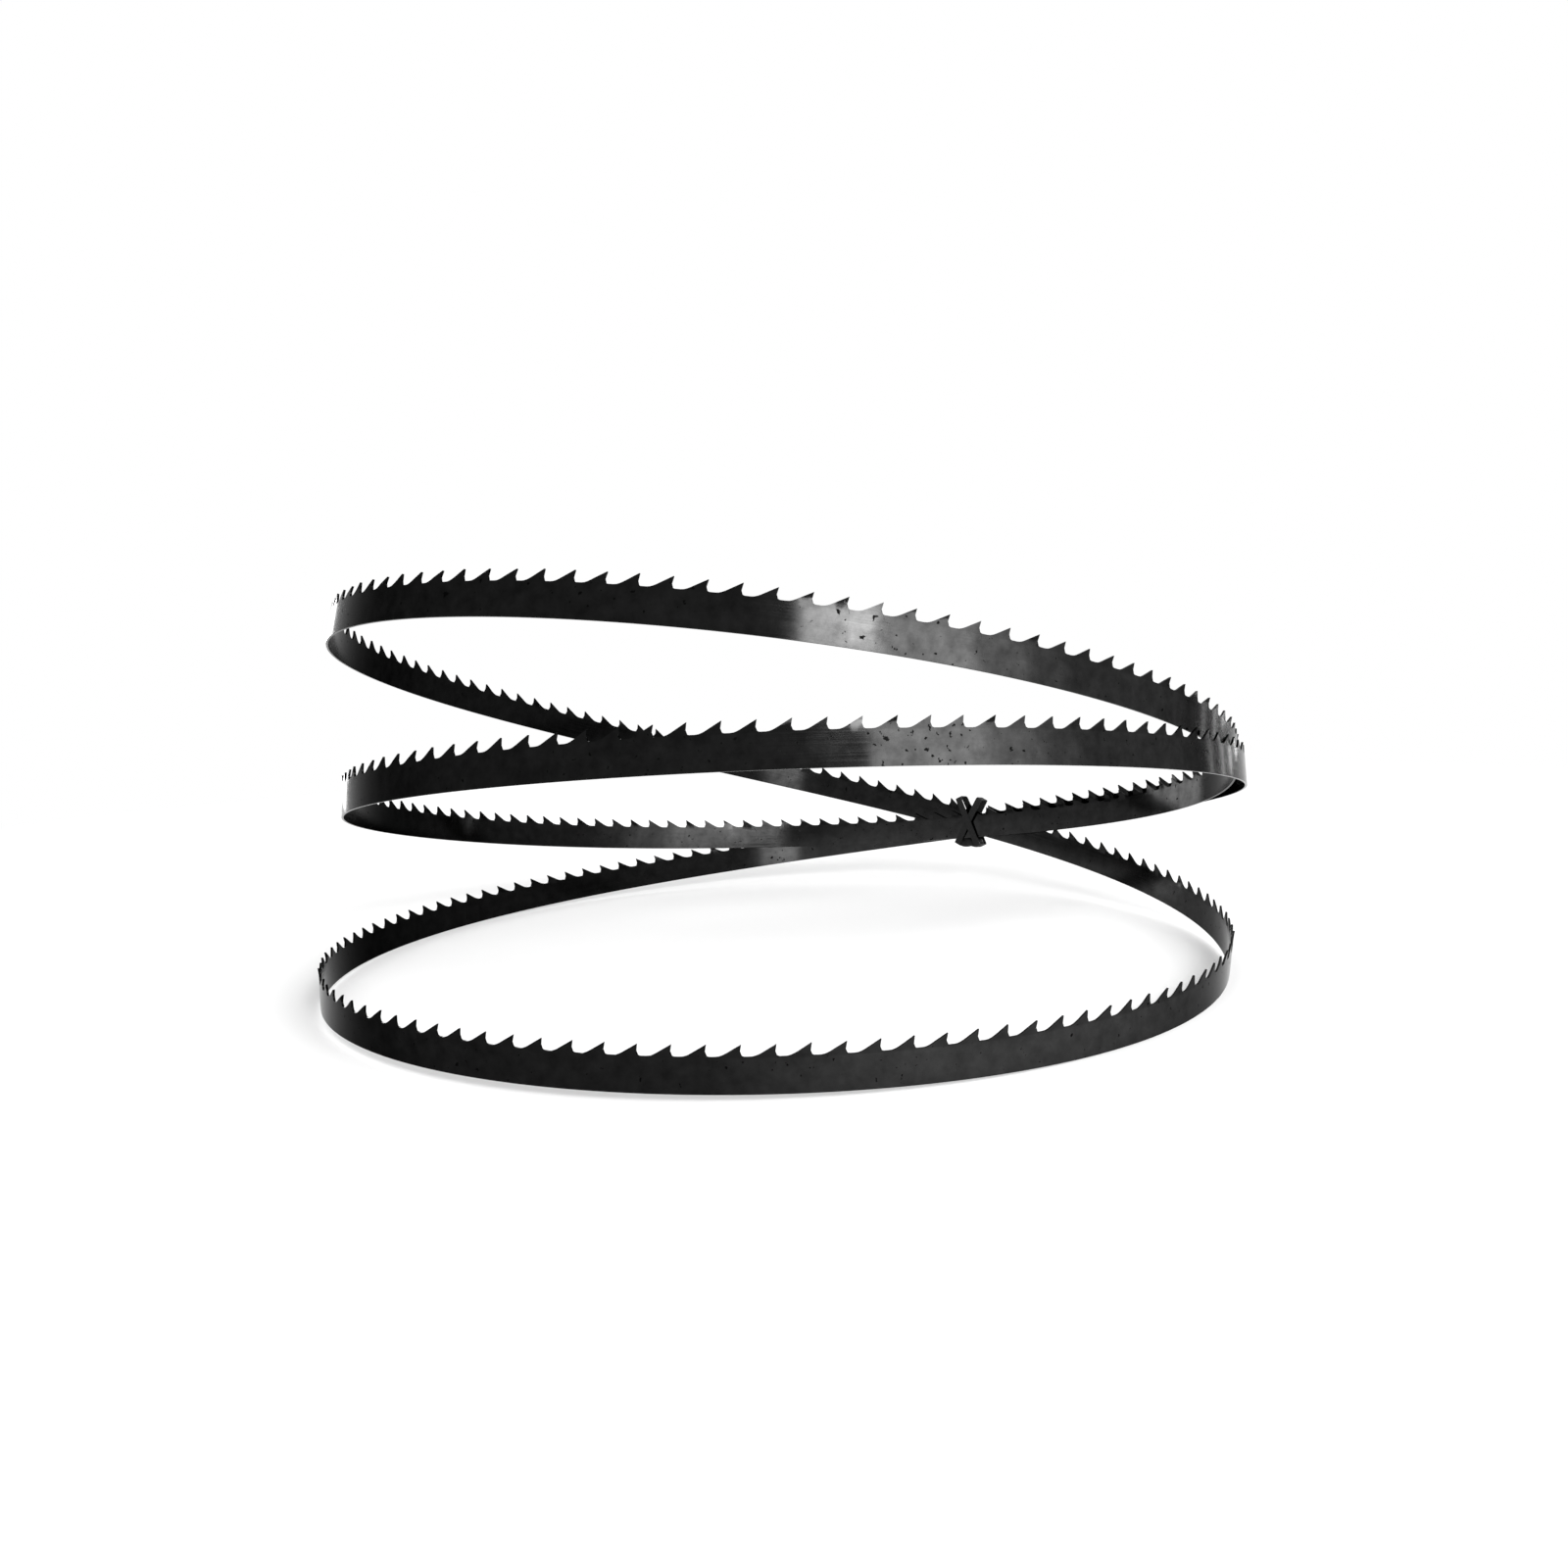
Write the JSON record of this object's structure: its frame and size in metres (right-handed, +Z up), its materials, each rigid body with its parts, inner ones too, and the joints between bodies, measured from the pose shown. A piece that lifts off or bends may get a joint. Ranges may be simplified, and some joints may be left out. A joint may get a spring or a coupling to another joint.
{
  "type": "band saw blade",
  "caption": "Endless narrow steel band with set hook teeth along one edge, coiled into springing turns and held where they cross by a small tie.",
  "frame": {"origin": "on the ground under the middle of the coil's bounding box", "axes": "+Z up out of the coil, with the teeth on the upper edge of every turn; -Y towards the front, where the turns spring apart; the tie is at the back, to the right"},
  "size_m": [0.3038, 0.3056, 0.1314],
  "materials": {
    "blade_steel": "blued and lightly oiled, dark and glossy",
    "tie_plastic": "black, matt"
  },
  "bodies": {
    "root": {"blade": "blade_steel", "tie": "tie_plastic"}
  },
  "joints": []
}
